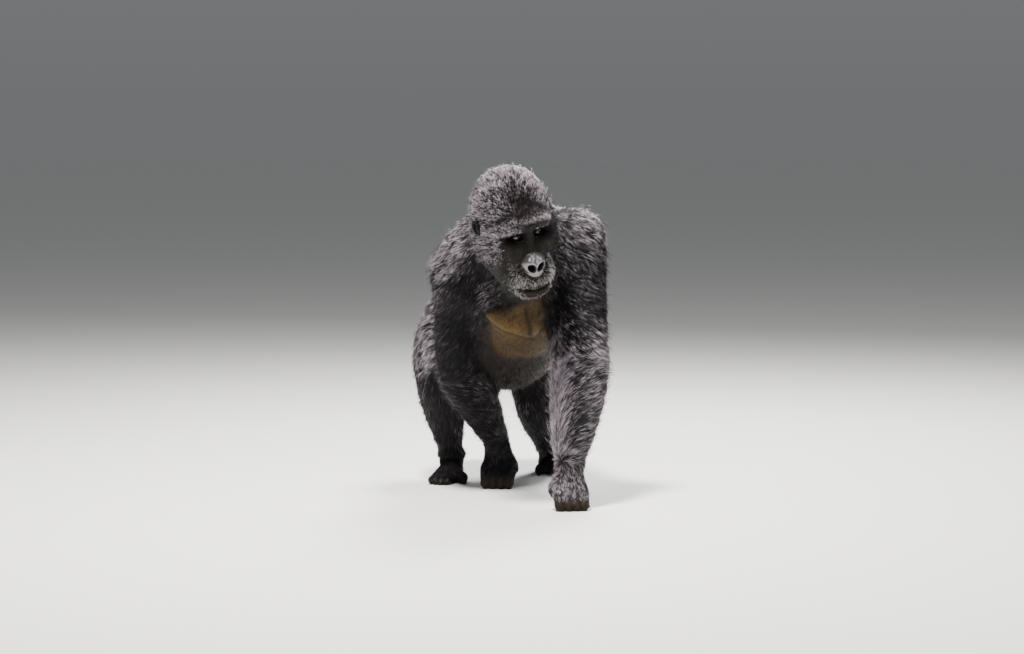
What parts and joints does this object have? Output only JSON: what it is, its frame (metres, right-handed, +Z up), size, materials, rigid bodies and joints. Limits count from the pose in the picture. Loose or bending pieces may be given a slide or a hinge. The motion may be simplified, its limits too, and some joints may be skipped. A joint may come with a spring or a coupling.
{
  "type": "mountain gorilla model",
  "caption": "Life-size still museum model of an adult male mountain gorilla walking on its knuckles, head turned a little to its left, with a thick dark coat.",
  "frame": {"origin": "on the floor, at the centre of the bounding box's underside", "axes": "+Z up, -Y the way the animal walks, +X to the animal's left"},
  "size_m": [0.7152, 1.2656, 1.198],
  "materials": {
    "coat": "thick charcoal-black hair, silvery where light grazes it, browner on the chest and belly",
    "bare_skin": "bare, creased, dark grey-black skin with a soft sheen",
    "eye": "wet, dark brown"
  },
  "bodies": {
    "root": {"head": "coat", "neck": "coat", "chest": "coat", "abdomen": "coat", "left_upper_arm": "coat", "left_forearm": "coat", "right_upper_arm": "coat", "right_forearm": "coat", "left_thigh": "coat", "left_shank": "coat", "right_thigh": "coat", "right_shank": "coat", "left_hand": "bare_skin", "right_hand": "bare_skin", "left_foot": "bare_skin", "right_foot": "bare_skin", "left_ear": "bare_skin", "right_ear": "bare_skin", "left_eye": "eye", "right_eye": "eye"}
  },
  "joints": []
}
